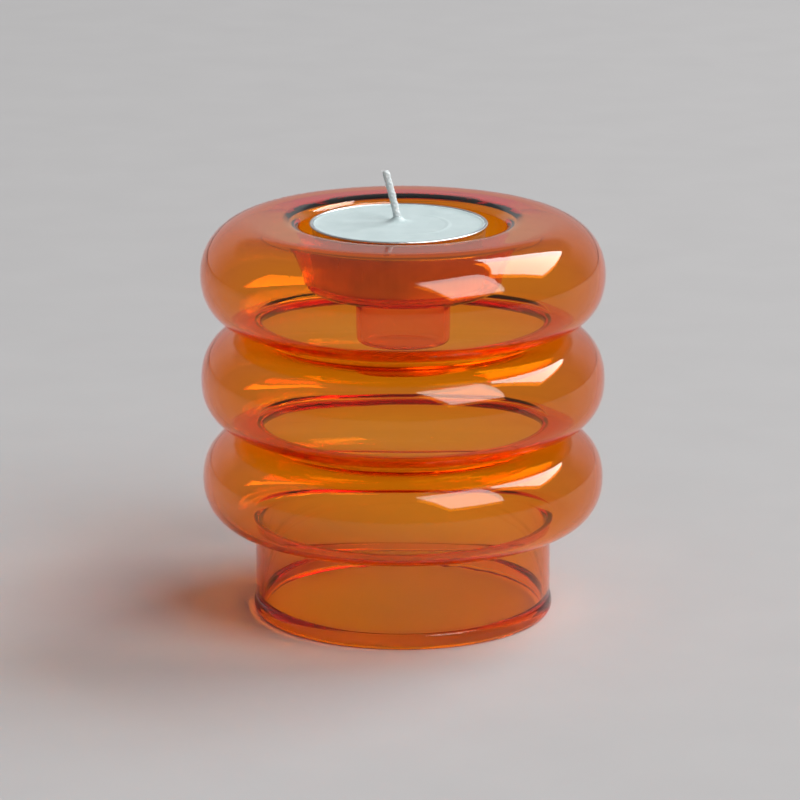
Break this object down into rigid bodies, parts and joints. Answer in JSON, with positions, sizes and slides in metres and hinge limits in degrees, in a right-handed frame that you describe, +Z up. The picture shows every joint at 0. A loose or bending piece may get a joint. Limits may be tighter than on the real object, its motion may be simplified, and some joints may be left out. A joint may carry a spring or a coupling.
{
  "type": "tealight holder",
  "caption": "Amber glass candle holder of stacked rings on a plain foot, with an inner cup and stem socket, holding a tealight.",
  "frame": {"origin": "on the surface the foot stands on, on the axis of the glass body", "axes": "+Z up along the glass body's axis; the mouth with the tealight faces +Z; the front is -Y"},
  "size_m": [0.0866, 0.0866, 0.0959],
  "materials": {
    "amber_glass": "polished, tinted through",
    "aluminium": "pressed foil, satin",
    "wax": "soft sheen",
    "tinplate": "satin",
    "wick_cotton": "waxed braid"
  },
  "bodies": {
    "holder": {"outer_body": "amber_glass", "inner_cup": "amber_glass"},
    "tealight": {"tealight_cup": "aluminium", "wax": "wax", "wick_sustainer": "tinplate", "wick": "wick_cotton"}
  },
  "joints": [
    {"name": "tealight_lift", "type": "slide", "parent": "holder", "child": "tealight", "axis": [0, 0, 1], "range_m": [0, 0.03]}
  ]
}
